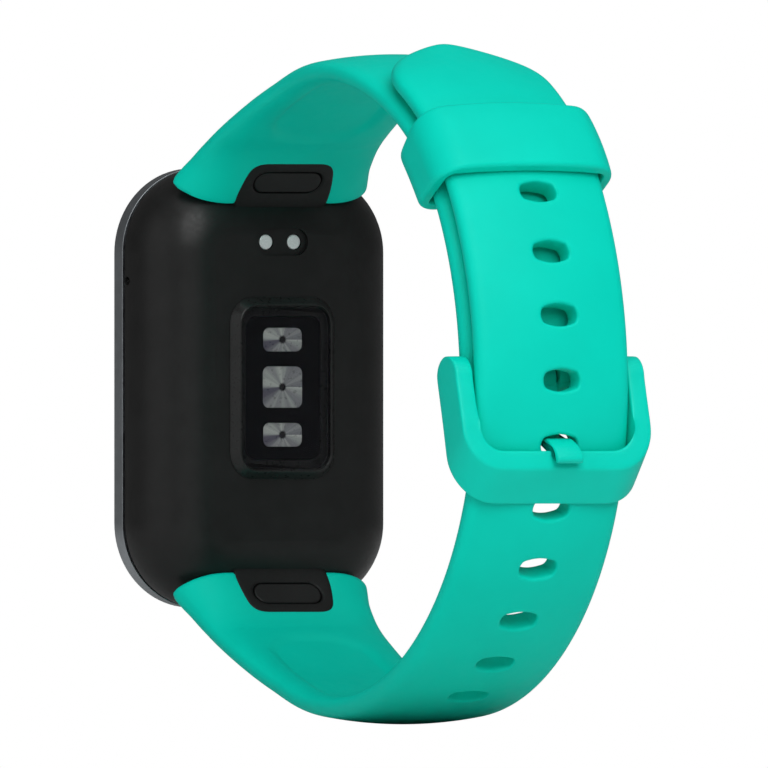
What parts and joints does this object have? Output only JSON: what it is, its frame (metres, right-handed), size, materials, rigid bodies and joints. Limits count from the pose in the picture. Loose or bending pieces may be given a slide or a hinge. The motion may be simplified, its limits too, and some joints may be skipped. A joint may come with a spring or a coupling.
{
  "type": "fitness tracker band",
  "caption": "Rectangular wrist fitness tracker on a buckled silicone strap, with a raised optical sensor, charging contacts and quick-release straps.",
  "frame": {"origin": "centre of the optical sensor window's outer face, which rests on the skin", "axes": "+Y out of the sensor window towards the wrist and the buckle, +Z towards the top end of the display, +X across the wrist"},
  "size_m": [0.0288, 0.0719, 0.0684],
  "materials": {
    "cover_glass": "polished",
    "display": "gloss",
    "frame_metal": "satin anodised",
    "case_plastic": "satin",
    "seal": "matt",
    "strap_silicone": "matt",
    "buckle_plastic": "satin",
    "sensor_glass": "polished",
    "lens": "polished",
    "contact_plating": "polished",
    "latch_steel": "brushed",
    "circuit_board": "satin",
    "chip_package": "matt",
    "battery_pouch": "satin",
    "antenna_copper": "satin",
    "ribbon_film": "satin"
  },
  "bodies": {
    "band": {"cover_glass": "cover_glass", "display_panel": "display", "front_frame": "frame_metal", "frame_gasket": "seal", "rear_case": "case_plastic", "sensor_ring": "case_plastic", "sensor_glass": "sensor_glass", "sensor_mask": "case_plastic", "led_window": "lens", "upper_photodiode_window": "lens", "lower_photodiode_window": "lens", "led_board": "circuit_board", "led_chips": "chip_package", "photodiode_chips": "chip_package", "charging_contacts": "contact_plating", "vent_mesh": "latch_steel", "main_board": "circuit_board", "main_chips": "chip_package", "inner_tray": "case_plastic", "battery": "battery_pouch", "vibration_motor": "latch_steel", "case_screws": "latch_steel", "antenna": "antenna_copper", "display_connector": "ribbon_film", "upper_connector": "case_plastic", "upper_latch_spring": "latch_steel", "lower_connector": "case_plastic", "lower_latch_spring": "latch_steel", "buckle_strap": "strap_silicone", "tail_strap": "strap_silicone", "spring_bar": "latch_steel"},
    "upper_button": {"upper_release_button": "case_plastic"},
    "upper_bolt": {"upper_latch_bolt": "latch_steel"},
    "lower_button": {"lower_release_button": "case_plastic"},
    "lower_bolt": {"lower_latch_bolt": "latch_steel"},
    "keeper": {"keeper_loop": "strap_silicone"},
    "buckle": {"buckle_frame": "buckle_plastic"},
    "tongue": {"buckle_tongue": "buckle_plastic"}
  },
  "joints": [
    {"name": "upper_button_press", "type": "slide", "parent": "band", "child": "upper_button", "axis": [0, -0.788, 0.6157], "range_m": [0, 0.0005], "stiffness_N_per_m": 1200, "springref_m": -0.0004},
    {"name": "upper_bolt_slide", "type": "slide", "parent": "band", "child": "upper_bolt", "axis": [0, 0.6157, 0.788], "range_m": [0, 0.0005], "deforming": ["upper_latch_spring"]},
    {"name": "lower_button_press", "type": "slide", "parent": "band", "child": "lower_button", "axis": [0, -0.788, -0.6157], "range_m": [0, 0.0005], "stiffness_N_per_m": 1200, "springref_m": -0.0004},
    {"name": "lower_bolt_slide", "type": "slide", "parent": "band", "child": "lower_bolt", "axis": [0, 0.6157, -0.788], "range_m": [0, 0.0005], "deforming": ["lower_latch_spring"]},
    {"name": "keeper_slide", "type": "hinge", "parent": "band", "child": "keeper", "pos_m": [0, 0.02772, 0.00601], "axis": [1, 0, 0], "range_deg": [-3, 12]},
    {"name": "buckle_swing", "type": "hinge", "parent": "band", "child": "buckle", "pos_m": [0, 0.0541, 0.001], "axis": [1, 0, 0], "range_deg": [0, 1.5]},
    {"name": "tongue_swing", "type": "hinge", "parent": "buckle", "child": "tongue", "pos_m": [0, 0.0541, 0.001], "axis": [1, 0, 0], "range_deg": [0, 0.6]}
  ],
  "couplings": [
    {"joint": "upper_bolt_slide", "follows": "upper_button_press", "ratio": 1},
    {"joint": "lower_bolt_slide", "follows": "lower_button_press", "ratio": 1}
  ]
}
